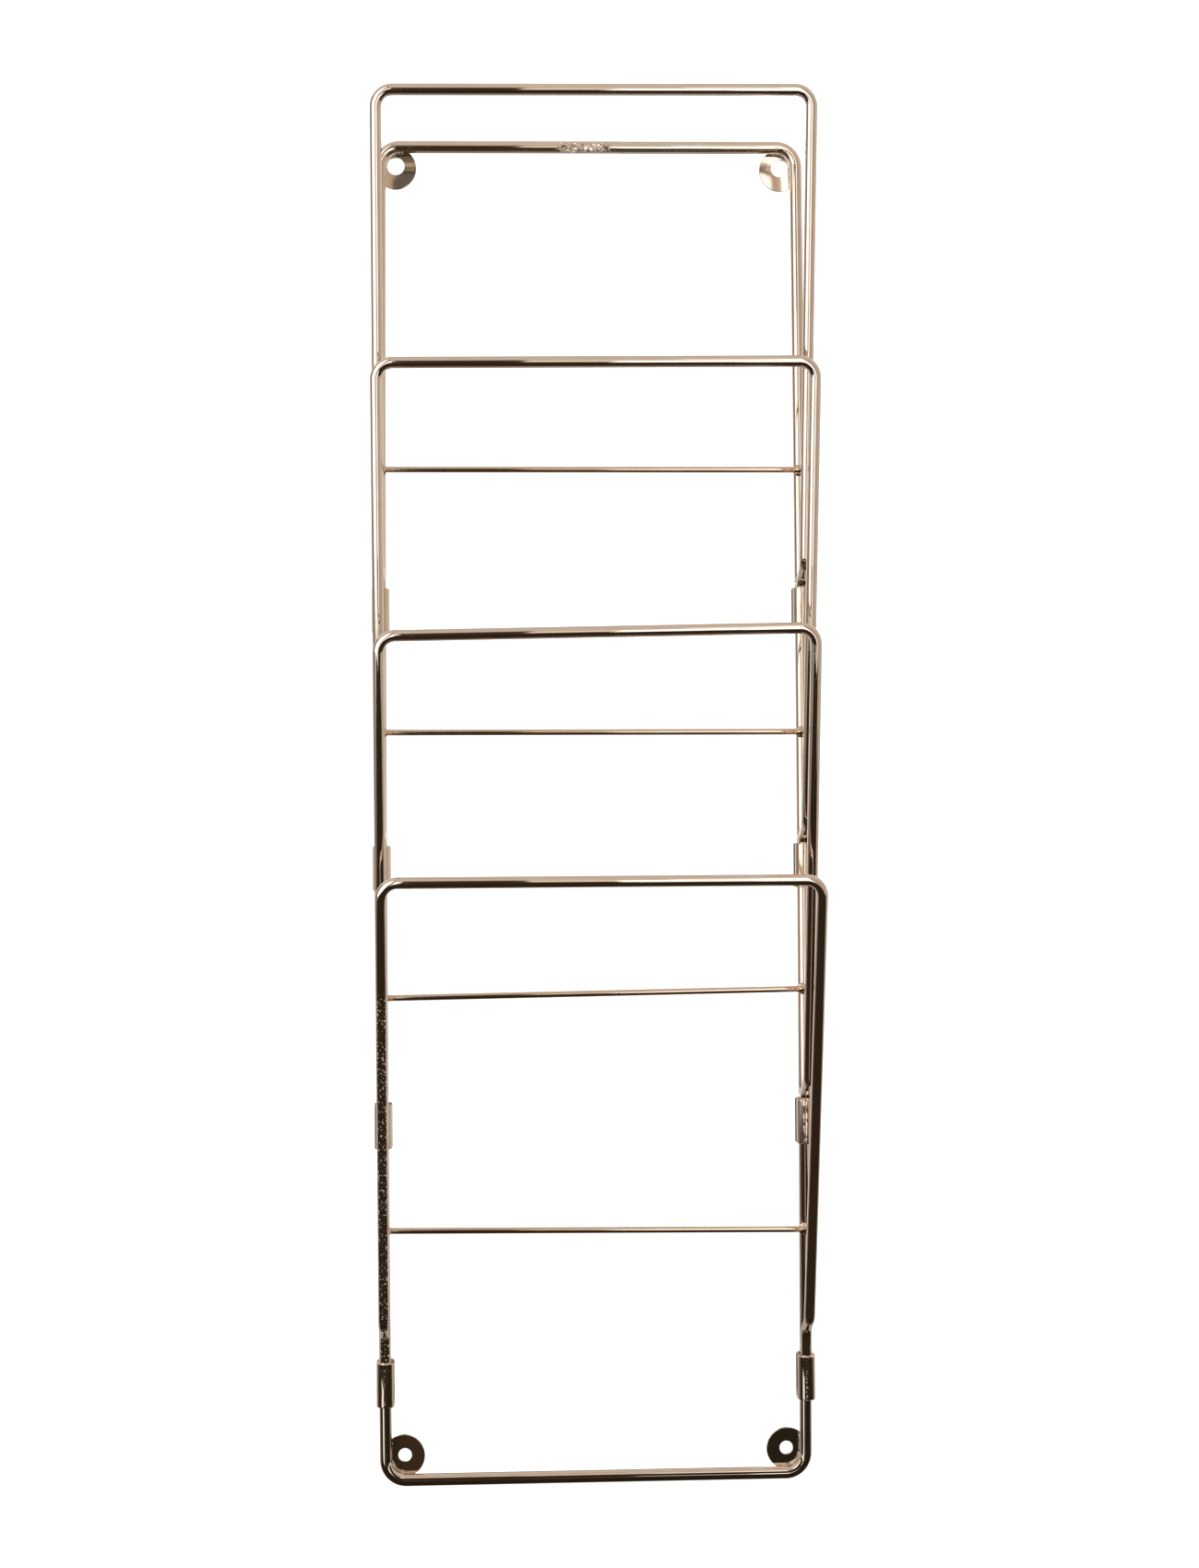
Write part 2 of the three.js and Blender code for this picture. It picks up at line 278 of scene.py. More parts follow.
def wire_gold(name, pale, deep, roughness, tint="#e2b768"):
    """Drawn steel wire, polished and gold-plated: a champagne mirror with faint lengthways lines."""
    material = bpy.data.materials.new(name)
    material.use_nodes = True
    tree = material.node_tree
    shader = tree.nodes["Principled BSDF"]
    shader.inputs["Metallic"].default_value = 1.0
    place = add(tree, "ShaderNodeAttribute", {"attribute_name": "on_wire"}).outputs["Vector"]
    heat = add(tree, "ShaderNodeAttribute", {"attribute_name": "heat"}).outputs["Fac"]
    worn = add(tree, "ShaderNodeAttribute", {"attribute_name": "worn"}).outputs["Fac"]
    times = {"operation": "MULTIPLY"}
    stretch = add(tree, "ShaderNodeVectorMath", times, i0=place, i1=(1.0, 1.0, LINE_STRETCH)).outputs[0]
    fine = 1 / LINE_SPACING
    streaks = add(tree, "ShaderNodeTexNoise", Vector=stretch, Scale=fine, Detail=3.0, Roughness=0.6)
    lines = streaks.outputs["Fac"]
    patches = add(tree, "ShaderNodeTexNoise", Vector=place, Scale=1 / HAZE_SIZE, Detail=2.0).outputs["Fac"]
    gold = add(
        tree,
        "ShaderNodeMix",
        {"data_type": "RGBA"},
        i0=add(tree, "ShaderNodeMapRange", i0=patches, i1=HAZE_FROM, i2=HAZE_TO).outputs[0],
        i6=linear(pale),
        i7=linear(deep),
    ).outputs[2]
    # The amber mix: heat tint at welds, and on the side wires also painted shade just above each sleeve.
    tinted = add(tree, "ShaderNodeMix", {"data_type": "RGBA"}, i0=heat, i6=gold, i7=linear(tint)).outputs[2]
    tree.links.new(tinted, shader.inputs["Base Color"])
    least, most = (roughness * share for share in LINE_GLOSS)
    gloss = add(tree, "ShaderNodeMapRange", i0=lines, i1=LINES_FROM, i2=LINES_TO, i3=least, i4=most)
    scaled = {"operation": "MULTIPLY_ADD"}
    rough = add(tree, "ShaderNodeMath", scaled, i0=heat, i1=HEAT_AND_SHADE_ROUGH, i2=gloss.outputs[0])
    tree.links.new(rough.outputs[0], shader.inputs["Roughness"])
    cells = add(tree, "ShaderNodeTexVoronoi", Vector=place, Scale=1 / FLAKE_SIZE)
    minus, dot = {"operation": "SUBTRACT"}, {"operation": "DOT_PRODUCT"}
    reach = add(tree, "ShaderNodeVectorMath", minus, i0=place, i1=cells.outputs["Position"])
    lean = add(tree, "ShaderNodeVectorMath", minus, i0=cells.outputs["Color"], i1=(0.5, 0.5, 0.5))
    flats = add(tree, "ShaderNodeVectorMath", dot, i0=reach.outputs[0], i1=lean.outputs[0]).outputs["Value"]
    grit = add(tree, "ShaderNodeTexNoise", Vector=place, Scale=1 / FLAKE_SIZE, Detail=4.0).outputs["Fac"]
    broken = add(tree, "ShaderNodeMath", {"operation": "ADD"}, i0=worn, i1=grit).outputs[0]
    shown = add(tree, "ShaderNodeMapRange", i0=broken, i1=FLAKES_FROM, i2=FLAKES_TO).outputs[0]
    chipped = add(tree, "ShaderNodeMath", times, i0=shown, i1=flats).outputs[0]
    chips = add(tree, "ShaderNodeBump", Strength=1.0, Distance=FLAKE_TILT, Height=chipped)
    tree.links.new(chips.outputs[0], shader.inputs["Normal"])
    return material


frame_gold = wire_gold("gold_plated_frame_wire", "#f1e0ce", "#eed8c2", 0.045)
hoop_gold = wire_gold("gold_plated_hoop_wire", "#f1e1d0", "#eedac6", 0.04)
rod_gold = wire_gold("gold_plated_rod_wire", "#edd6be", "#e8cdb0", 0.07)
sleeve_gold = wire_gold("gold_plated_sleeve_tube", "#eed9c4", "#e8cfb6", 0.09)
tab_gold = wire_gold("gold_plated_tab_plate", "#f1e1d0", "#eedcc8", 0.07)
print("finishes:", [gold.name for gold in (frame_gold, hoop_gold, rod_gold, sleeve_gold, tab_gold)])

# %% [markdown]
# ## The back frame
#
# One 7 mm wire goes round all four corners, and its two ends meet in the middle of the top rail. There they
# are butt-welded, and the bead is ground back by hand, which leaves a scar of small flats about 42 mm long.
# The side wires belly outwards by a millimetre, so each is bent a little at a very large radius. The flats
# could be cut into the mesh, but they are finer than its rings, so they come from the finish, and the mesh
# only says where the metal is worn. The wire starts at one end of the scar, and its last run crosses it.
#
# One fault is left in: the two end rings at the scar lie 0.06 mm apart, which is more than the merge
# reaches, so they stay two open rings.

# %% Bend the frame, join its ends and grind the butt weld
SCAR_FROM, SCAR_TO = -24 * MM, 18.5 * MM
WELD_SPOT = 7 * MM  # how far the heat of a rod's weld spreads
SCAR_FACING = Vector((0, -0.97, -0.25))  # the scar was ground from the front, and a little from below
SCAR_WEAR = 0.55
SCAR_ENDS = 5  # the wear fades out over a fifth of the scar at each end
SCAR_ROUND = 0.7  # below 1, the wear reaches further round the wire
SCAR_PITCH = 0.4 * MM
MERGE_REACH = 0.01 * MM
PAINTED_SHADE_HEIGHT = 11 * MM  # painted shade: an amber-brown tint stands this high above a sleeve, on the front of the side wire behind the hoop's foot
PAINTED_SHADE_START = 1 * MM  # and starts this far below its rim
PAINTED_SHADE_BACK = 2 * MM  # it fades out over this much depth, towards the wire's middle
PAINTED_SHADE_STRENGTH, PAINTED_SHADE_WEAR, PAINTED_SHADE_FACING_RIGHT = 1.2, 0.62, 0.5  # on both wires the side that faces right gets half: the outer side of the right wire, the inner side of the left
PAINTED_SHADE_SHOWS = 0.1  # a fainter painted shade gets no wear
RISES = [-1, -1, 1, -1]  # which end of each rod is the higher one


def rod_ends(number):
    """The centres of a rod's two ends, left and right."""
    low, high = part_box(f"cross_rod_{number}")
    rise = (high.z - low.z - ROD_WIRE) / 2 * RISES[number - 1]
    middle = (low + high) / 2
    return Vector((low.x, middle.y, middle.z - rise)), Vector((high.x, middle.y, middle.z + rise))


def weld_spots():
    """Where the rods cross the front of the side wires."""
    spots = []
    for number in range(1, 5):
        for side, end in zip((-1, 1), rod_ends(number)):
            spots.append(Vector((side * side_x(end.z), frame_y - FRAME_WIRE / 2, end.z)))
    return spots


def make_frame():
    bm = start_mesh()
    belly = (TOP_X + BOTTOM_X) / 2 + 2 * SIDE_BOW
    middle_z = (top_z + bottom_z) / 2
    slope = RAIL_DROP / (2 * TOP_X)
    rail_z = top_z - RAIL_DROP / 2
    corners = [
        (SCAR_TO, frame_y, rail_z + slope * SCAR_TO),
        (TOP_X, frame_y, top_z),
        (belly, frame_y, middle_z),
        (BOTTOM_X, frame_y, bottom_z),
        (-BOTTOM_X, frame_y, bottom_z),
        (-belly, frame_y, middle_z),
        (-TOP_X, frame_y, top_z - RAIL_DROP),
        (SCAR_FROM, frame_y, rail_z + slope * SCAR_FROM),
    ]
    bow = BOW_SHARE * (FRAME_HEIGHT / 2) ** 2 / (2 * SIDE_BOW)
    radii = [FRAME_BEND, bow, FRAME_BEND]
    first, last = bend_wire(bm, corners, radii + radii, FRAME_WIRE)
    push(bm, edges_among(last), Vector(corners[0]) - Vector(corners[-1]), SCAR_PITCH)
    note_place(bm, first, FRAME_WIRE / 2)
    bmesh.ops.remove_doubles(bm, verts=bm.verts, dist=MERGE_REACH)
    heat = bm.verts.layers.float["heat"]
    worn = bm.verts.layers.float["worn"]
    spots = weld_spots()
    rims = [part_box(f"sleeve_{number}_left")[1].z for number in range(1, 5)]
    for v in bm.verts:
        if v.co.z > rail_z - FRAME_WIRE and SCAR_FROM <= v.co.x <= SCAR_TO:
            share = (v.co.x - SCAR_FROM) / (SCAR_TO - SCAR_FROM)
            outward = Vector((0, v.co.y - frame_y, v.co.z - rail_z - slope * v.co.x)).normalized()
            facing = max(0.0, outward.dot(SCAR_FACING)) ** SCAR_ROUND
            v[worn] = SCAR_WEAR * min(1.0, SCAR_ENDS * share, SCAR_ENDS * (1 - share)) * facing
        elif abs(v.co.x) > TOP_X - FRAME_WIRE:
            near = min((v.co - spot).length for spot in spots)
            v[heat] = max(0.0, 1 - near / WELD_SPOT)
            # Painted shade: amber-brown on the front of the side wire, from just below each sleeve's rim to
            # above the hoop's crank, where the foot stands close in front of it, with some wear.
            above = min((v.co.z - rim for rim in rims if v.co.z > rim - PAINTED_SHADE_START), default=1.0)
            inner = 1 if v.co.x * (abs(v.co.x) - side_x(v.co.z)) < 0 else PAINTED_SHADE_FACING_RIGHT
            front = max(0.0, min(1.0, (frame_y - v.co.y) / PAINTED_SHADE_BACK))
            painted_shade = max(0.0, 1 - above / PAINTED_SHADE_HEIGHT) * front
            v[heat] = max(v[heat], PAINTED_SHADE_STRENGTH * painted_shade * inner)
            v[worn] = PAINTED_SHADE_WEAR * min(1.0, 2 * painted_shade) if painted_shade > PAINTED_SHADE_SHOWS else 0.0
    return finish_piece(bm, "back_frame_wire", "rack", "back_frame", frame_gold)


frame_wire = make_frame()
print("back frame:", len(frame_wire.data.polygons), "faces")

# %% [markdown]
# ## The cross rods
#
# Each rod is a straight 3.5 mm wire laid across the front of the side wires and resistance-welded: the two
# wires sink into each other a little, and soft metal squeezes out above and below the crossing. That
# squeezed-out metal is modelled as small flattened nuggets, tinted amber.

# %% Make the rods with their weld nuggets
NUGGET = Vector((2.9, 1.5, 1.8)) * MM
NUGGET_IN, NUGGET_SUNK, NUGGET_OFF = 0.4 * MM, 0.1 * MM, 1.5 * MM  # inwards, into the wire, and off the rod
NUGGET_LUMPS, LUMPS_EACH = 0.22, 1.7  # how far a nugget's skin wanders, and how often
NUGGET_HEAT = 0.9
ROD_HEAT, ROD_HEAT_REACH = 0.9, 9 * MM


def make_rod(number):
    bm = start_mesh()
    ends = rod_ends(number)
    first, last = bend_wire(bm, ends, [], ROD_WIRE)
    close_end(bm, first)
    close_end(bm, last)
    nugget_y = frame_y - FRAME_WIRE / 2 - NUGGET_SUNK
    heat = bm.verts.layers.float["heat"]
    for v in bm.verts:
        v[heat] = max(0.0, 1 - (ends[1].x - abs(v.co.x)) / ROD_HEAT_REACH) * ROD_HEAT
    for side, end in zip((-1, 1), ends):
        for up in (-1, 1):
            nugget = bmesh.ops.create_icosphere(bm, subdivisions=4, radius=1.0)["verts"]
            place = Vector((side * (side_x(end.z) - NUGGET_IN), nugget_y, end.z))
            place.z += up * NUGGET_OFF
            for v in nugget:
                lump = 1 + NUGGET_LUMPS * noise.noise(v.co * LUMPS_EACH + Vector((number, side, up)))
                v.co = Vector((v.co.x * NUGGET.x, v.co.y * NUGGET.y, v.co.z * NUGGET.z)) * lump + place
                v[heat] = NUGGET_HEAT
    return finish_piece(bm, f"rod_{number}", "rack", f"cross_rod_{number}", rod_gold)


rods = [make_rod(number) for number in range(1, 5)]
print("rods:", [len(rod.data.polygons) for rod in rods], "faces")

# %% [markdown]
# ## The fixing tabs
#
# A tab is a disc punched out of 1.5 mm sheet with one screw hole. Polishing takes the punched edges off, so
# all its rims get a small bevel. It is welded behind the frame's corner, with a short bead along the inside
# of the bend. Its two sides are shaded flat, because smooth shading over the small bevels would make them
# look dished.

# %% Punch the tabs and lay their weld beads
HOLES = {"top": 5.0 * MM, "bottom": 3.9 * MM}
HOLE_IN = {"top": 9.0 * MM, "bottom": 10.55 * MM}
HOLE_FROM_RAIL = {"top": 11.2 * MM, "bottom": 13.2 * MM}
TAB_ROUNDING = 0.2 * MM
RIM_ANGLE = 1.2  # radians: edges that turn more than this are rims
TAB_HEAT, TAB_HEAT_REACH = 0.1, 4 * MM
BEAD = 0.9 * MM  # the bead's half thickness
BEAD_INSET = 2.5 * MM  # from the frame wire's middle
BEAD_SUNK = 0.25 * MM
BEAD_UPRIGHT, BEAD_LEVEL = 20.5 * MM, 13.0 * MM  # how far it runs from the corner along each wire
BEAD_PITCH, BEAD_END = 0.7 * MM, 0.4 * MM
BEAD_ROUGH, BEAD_HEAT = 0.18 * MM, 0.15
BEAD_GRAIN_X, BEAD_GRAIN_Z = 1.6 * MM, 1.3 * MM  # the size of the bead's lumps


def rims_of(bm):
    """The sharp edges of a sheet piece."""
    return [e for e in bm.edges if len(e.link_faces) == 2 and e.calc_face_angle(0) > RIM_ANGLE]


def make_tab(level, side_name):
    """One tab: its disc and hole are two circles, bridged, raised to its thickness and rounded over."""
    node = f"fixing_tab_{level}_{side_name}"
    low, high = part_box(node)
    side = 1 if side_name == "right" else -1
    wire_x, rail, up = (TOP_X, top_z, -1) if level == "top" else (BOTTOM_X, bottom_z, 1)
    drop = RAIL_DROP if node.endswith("top_left") else 0
    middle = (low + high) / 2
    radius = (high.x - low.x) / 2
    bm = start_mesh()
    flat = Matrix.Rotation(math.radians(90), 4, "X")
    hole_at = Vector((side * (wire_x - HOLE_IN[level]), high.y, rail + up * HOLE_FROM_RAIL[level]))
    disc_at = Vector((middle.x, high.y, middle.z))
    rings = []
    for centre, size in ((disc_at, radius), (hole_at, HOLES[level])):
        made = bmesh.ops.create_circle(bm, segments=72, radius=size, matrix=Matrix.Translation(centre) @ flat)
        rings += edges_among(made["verts"])
    sheet = bmesh.ops.bridge_loops(bm, edges=rings)["faces"]
    raised = bmesh.ops.extrude_face_region(bm, geom=sheet)["geom"]
    moved = [g for g in raised if isinstance(g, bmesh.types.BMVert)]
    bmesh.ops.translate(bm, verts=moved, vec=(0, low.y - high.y, 0))
    round_over(bm, rims_of(bm), TAB_ROUNDING)
    place = bm.verts.layers.float_vector["on_wire"]
    heat = bm.verts.layers.float["heat"]
    for v in bm.verts:
        v[place] = v.co
        near = min(abs(side * wire_x - v.co.x), abs(rail - v.co.z)) - FRAME_WIRE / 2
        v[heat] = TAB_HEAT * max(0.0, 1 - near / TAB_HEAT_REACH)
    plate = set(bm.verts)
    bead_y = low.y - BEAD_SUNK
    bead_z = rail + up * BEAD_INSET - drop
    route = [
        (side * (wire_x - BEAD_INSET), bead_y, rail + up * BEAD_UPRIGHT),
        (side * (wire_x - BEAD_INSET), bead_y, bead_z),
        (side * (wire_x - BEAD_LEVEL), bead_y, bead_z),
    ]
    first, last = bend_wire(bm, route, [FRAME_BEND - BEAD_INSET], 2 * BEAD, pitch=BEAD_PITCH)
    close_end(bm, first, BEAD_END)
    close_end(bm, last, BEAD_END)
    for v in set(bm.verts) - plate:
        lumps = Vector((noise.noise(v.co / BEAD_GRAIN_X), 0, noise.noise(v.co / BEAD_GRAIN_Z)))
        v.co += lumps * BEAD_ROUGH
        v[heat] = BEAD_HEAT
    name = f"tab_{level}_{side_name}"
    return finish_piece(bm, name, "rack", node, tab_gold, flat_sheet=True)


tabs = [make_tab(level, side) for level in ("top", "bottom") for side in ("left", "right")]
print("tabs:", [len(tab.data.polygons) for tab in tabs], "faces")

# %% [markdown]
# ## The sleeves
#
# A sleeve is a strip of sheet rolled into a flat oval round the side wire and closed with a seam down its
# front. Its bore takes the side wire behind and a hoop's foot in front. The outline is two half turns joined
# by straight sides, pushed up to make the outer and inner walls, and the rims are bridged and rounded over.
# The seam is raised a hair and left rough, roughest on the lowest pair, and so are the sawn rims.
#
# One fault is left in: the outer and inner loops share a centre, and bridge_loops then joins opposite sides
# of them, so its faces lie across the sleeve's mouth instead of round the rim.

# %% Roll the sleeves
HALF_TURN_STEPS = 30
SLEEVE_PITCH = 0.8 * MM
SLEEVE_ROUNDING = 0.35 * MM
SEAM_RISE = 0.12 * MM
SEAM_LEFT = 0.4 * MM  # the seam's middle is this far left of the sleeve's
SEAM_REACH = 1.7 * MM  # and it fades out over this much on each side
SEAM_DEPTH, SEAM_SKIN = 1.6 * MM, 0.6 * MM  # it is on the front of the sleeve, and on its outer wall only
SEAM_WAVES, SEAM_GRAIN = 5.0 * MM, 1.9 * MM  # its height wanders over these lengths
GRAIN_SHARE, SEAM_LEAST = 0.4, 0.3  # the finer one's share, and the height that is always there
SEAM_HEAT, SEAM_WEAR, LOWEST_SEAM_WEAR = 0.06, 0.22, 0.42
RIM_ROUGH, RIM_WEAR = 1.2 * MM, 0.5  # sawn rims stay a little rough


def unevenness(point, scale, seed):
    """A smooth random value from about -1 to 1, which changes over the scale."""
    return noise.noise(Vector(point) / scale + Vector((seed, 0.0, 0.0)))


def oval(bm, centre_x, back_y, front_y, z, radius):
    """A closed flat oval of vertices: half a turn round each of the two centres."""
    start = bm.verts.new((centre_x + radius, back_y, z))
    half = bmesh.ops.spin(
        bm, geom=[start], cent=(centre_x, back_y, z), axis=(0, 0, 1), angle=math.pi, steps=HALF_TURN_STEPS
    )
    corner = [g for g in half["geom_last"] if isinstance(g, bmesh.types.BMVert)][0]
    straight = bmesh.ops.extrude_vert_indiv(bm, verts=[corner])["verts"]
    bmesh.ops.translate(bm, verts=straight, vec=(0, front_y - back_y, 0))
    half = bmesh.ops.spin(
        bm, geom=straight, cent=(centre_x, front_y, z), axis=(0, 0, 1), angle=math.pi, steps=HALF_TURN_STEPS
    )
    end = [g for g in half["geom_last"] if isinstance(g, bmesh.types.BMVert)][0]
    closing = bm.edges.new((end, start))
    loop, seen, reached = [closing], {start}, start
    while reached != end:
        edge = next(e for e in reached.link_edges if e != closing and e.other_vert(reached) not in seen)
        loop.append(edge)
        reached = edge.other_vert(reached)
        seen.add(reached)
    return loop


def make_sleeve(number, side_name):
    """One sleeve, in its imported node's box."""
    node = f"sleeve_{number}_{side_name}"
    low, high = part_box(node)
    x = (low.x + high.x) / 2
    outer = (high.x - low.x) / 2
    back_y, front_y = high.y - outer, low.y + outer
    bm = start_mesh()
    bottoms, tops = [], []
    for radius in (outer, outer - SLEEVE_WALL):
        loop = oval(bm, x, back_y, front_y, low.z, radius)
        bottoms += loop
        tops += push(bm, loop, Vector((0, 0, high.z - low.z)), SLEEVE_PITCH)
    bmesh.ops.bridge_loops(bm, edges=bottoms)
    bmesh.ops.bridge_loops(bm, edges=tops)
    bmesh.ops.recalc_face_normals(bm, faces=bm.faces)
    round_over(bm, rims_of(bm), SLEEVE_ROUNDING)
    place = bm.verts.layers.float_vector["on_wire"]
    heat = bm.verts.layers.float["heat"]
    worn = bm.verts.layers.float["worn"]
    for v in bm.verts:
        across = v.co.x - x
        from_bend = Vector((across, v.co.y - front_y)).length
        if v.co.y < front_y - outer + SEAM_DEPTH and from_bend > outer - SEAM_SKIN:
            seam = max(0.0, 1 - abs(across + SEAM_LEFT) / SEAM_REACH)
            grain = GRAIN_SHARE * unevenness(v.co, SEAM_GRAIN, number + 5)
            rough = unevenness(v.co, SEAM_WAVES, number) + grain
            v.co.y -= SEAM_RISE * seam * (SEAM_LEAST + rough)
            v[heat] = SEAM_HEAT * seam
            v[worn] = (LOWEST_SEAM_WEAR if number == 4 else SEAM_WEAR) * seam
        from_rim = min(v.co.z - low.z, high.z - v.co.z)
        if from_rim < RIM_ROUGH:
            v[worn] = max(v[worn], RIM_WEAR * (1 - from_rim / RIM_ROUGH))
        v[place] = v.co
    return finish_piece(bm, f"sleeve_tube_{number}_{side_name}", "rack", node, sleeve_gold)


sleeves = [make_sleeve(number, side) for number in range(1, 5) for side in ("left", "right")]
print("sleeves:", [len(sleeve.data.polygons) for sleeve in sleeves], "faces")

# %% [markdown]
# ## The front hoops
#
# Each hoop is one 6.4 mm wire bent six times: two round top corners, and on each leg a crank that steps back
# to a straight foot. It leans out so that a newspaper can stand in the pocket behind it. The same route
# serves all four hoops: each has its own height, and small errors of level, width and lean from hand bending.
# The plating of the lowest hoop's left leg is pitted, which the finish shows where the mesh says it is worn.

# %% Bend the hoops, each with its own small errors
PITTED_HOOP = 4
PIT_WEAR = 0.3
PITS_BELOW_TOP = 60 * MM
HOOPS = [
    # mm: its top corners' heights, how much each end of its top bar is narrowed, and its lean to the right
    {"left": -0.8, "right": 0.8, "narrowed": 1.0, "lean": 0.0},
    {"left": -1.5, "right": -0.1, "narrowed": 0.0, "lean": 0.2},
    {"left": -2.3, "right": 1.6, "narrowed": 0.5, "lean": 0.2},
    {"left": -0.4, "right": -0.4, "narrowed": -0.6, "lean": 1.7},
]


def hoop_side(side, number):
    """The corners of a hoop's left (-1) or right (1) half, from its foot's end to its top corner."""
    low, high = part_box(f"front_hoop_{number}")
    hoop = HOOPS[number - 1]
    side_name = "left" if side < 0 else "right"
    sleeve_low, sleeve_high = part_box(f"sleeve_{number}_{side_name}")
    foot_x = (sleeve_low.x + sleeve_high.x) / 2
    foot_y = high.y - HOOP_WIRE / 2
    rim_z = low.z + FOOT_DEPTH
    top_x = side * (TOP_X - hoop["narrowed"] * MM) + hoop["lean"] * MM
    stray = hoop[side_name] * MM
    crank_z = rim_z + CRANK_RISE
    return [
        (foot_x, foot_y, low.z),
        (foot_x, foot_y, crank_z),
        (foot_x, foot_y - CRANK_REACH, crank_z + CRANK_REACH * math.tan(CRANK_SLOPE)),
        (top_x, low.y + HOOP_WIRE / 2, rim_z + HOOP_RISE + stray),
    ]


def make_hoop(number):
    corners = hoop_side(-1, number) + hoop_side(1, number)[::-1]
    radii = [FOOT_BEND, LEG_BEND, HOOP_BEND, HOOP_BEND, LEG_BEND, FOOT_BEND]
    bm = start_mesh()
    first, last = bend_wire(bm, corners, radii, HOOP_WIRE)
    close_end(bm, first)
    close_end(bm, last)
    if number == PITTED_HOOP:
        worn = bm.verts.layers.float["worn"]
        for v in bm.verts:
            v[worn] = PIT_WEAR if v.co.x < 0 and v.co.z < corners[3][2] - PITS_BELOW_TOP else 0.0
    name = f"front_hoop_{number}"
    return finish_piece(bm, f"hoop_wire_{number}", f"hoop_{number}", name, hoop_gold)


hoops = [make_hoop(number) for number in range(1, 5)]
print("hoops:", [len(hoop.data.polygons) for hoop in hoops], "faces")

# %% [markdown]
# ## The studio
#
# Polished metal shows the room, so the room is half of its look. The rack hangs in a white studio over a pale
# floor. Lamps could light it, but a mirror shows only their small shapes, so glowing cards are used: to the
# camera the room is plain white, and glossy rays see a darker room with the cards in it.

# %% White surroundings and a pale floor
STUDIO_WHITE = 1.35
LOW_ROOM, HIGH_ROOM = (0.42, 0.40, 0.39, 1), (0.62, 0.575, 0.53, 1)  # as gloss sees it, below and above
LOW_ROOM_AT, HIGH_ROOM_AT = 0.36, 0.50  # from 0, straight down, to 1, straight up
FLOOR_Z, FLOOR_RADIUS = -0.62, 25


def make_world():
    """White for the camera and for soft light, and a graded room for reflections."""
    world = bpy.data.worlds.new("studio")
    bpy.context.scene.world = world
    world.use_nodes = True
    tree = world.node_tree
    tree.nodes.clear()
    path = add(tree, "ShaderNodeLightPath")
    direction = add(tree, "ShaderNodeTexCoord").outputs["Generated"]
    height = add(tree, "ShaderNodeSeparateXYZ", i0=direction).outputs["Z"]
    upward = add(tree, "ShaderNodeMapRange", i0=height, i1=-1.0, i2=1.0).outputs[0]
    shades = add(tree, "ShaderNodeValToRGB", i0=upward)
    low, high = shades.color_ramp.elements
    low.position, low.color = LOW_ROOM_AT, LOW_ROOM
    high.position, high.color = HIGH_ROOM_AT, HIGH_ROOM
    room = add(tree, "ShaderNodeBackground", i0=shades.outputs[0], i1=1.0)
    white = add(tree, "ShaderNodeBackground", i0=(1, 1, 1, 1), i1=STUDIO_WHITE)
    gloss = path.outputs["Is Glossy Ray"]
    mix = add(tree, "ShaderNodeMixShader", i0=gloss, i1=white.outputs[0], i2=room.outputs[0])
    add(tree, "ShaderNodeOutputWorld", i0=mix.outputs[0])


def plain(name, colour, roughness):
    """Matt paint: one colour, and no highlight to speak of."""
    material = bpy.data.materials.new(name)
    material.use_nodes = True
    shader = material.node_tree.nodes["Principled BSDF"]
    shader.inputs["Base Color"].default_value = linear(colour)
    shader.inputs["Roughness"].default_value = roughness
    return material


def make_floor():
    bm = bmesh.new()
    place = Matrix.Translation((0, 0, FLOOR_Z))
    bmesh.ops.create_circle(bm, cap_ends=True, segments=64, radius=FLOOR_RADIUS, matrix=place)
    mesh = bpy.data.meshes.new("floor")
    bm.to_mesh(mesh)
    bm.free()
    mesh.materials.append(plain("white_painted_floor", "#f7f6f4", 0.9))
    floor = bpy.data.objects.new("floor", mesh)
    bpy.context.scene.collection.objects.link(floor)
    floor.visible_glossy = False


make_world()
make_floor()
print("floor at z, m:", FLOOR_Z)

# %% [markdown]
# ## The cards
#
# Most of the cards stand in one plane, 1.12 m in front of the wall: a broad white diffuser on the left with a
# narrow gap in it, a dark figure in front of the middle, a white diffuser right of it, and a grey side wall.
# A dark low table and a dark floor draw the dark undersides of the bars. Two white panels with a dark strip
# between them stand behind the rack, for the back view. The cards show in reflections only: the camera
# doesn't see them, and they cast no shadow.

# %% Make a card, and set them all up
def make_card(name, low, high, brightness, colour="#ffffff"):
    """A flat card between two corners that differ in two directions, which glows and shows in gloss only."""
    low, high = Vector(low), Vector(high)
    size = high - low
    thin = min(range(3), key=lambda i: abs(size[i]))
    a, b = [i for i in range(3) if i != thin]
    corners = []
    for s, t in ((0, 0), (1, 0), (1, 1), (0, 1)):
        corner = low.copy()
        corner[a] += size[a] * s
        corner[b] += size[b] * t
        corners.append(corner)
    bm = bmesh.new()
    bm.faces.new([bm.verts.new(c) for c in corners])
    mesh = bpy.data.meshes.new(name)
    bm.to_mesh(mesh)
    bm.free()
    material = bpy.data.materials.new(name)
    material.use_nodes = True
    tree = material.node_tree
    tree.nodes.clear()
    glow = add(tree, "ShaderNodeEmission", Color=linear(colour), Strength=brightness)
    add(tree, "ShaderNodeOutputMaterial", i0=glow.outputs[0])
    mesh.materials.append(material)
    card = bpy.data.objects.new(name, mesh)
    bpy.context.scene.collection.objects.link(card)
    card.visible_camera = False
    card.visible_diffuse = False
    card.visible_shadow = False
    card.visible_transmission = False


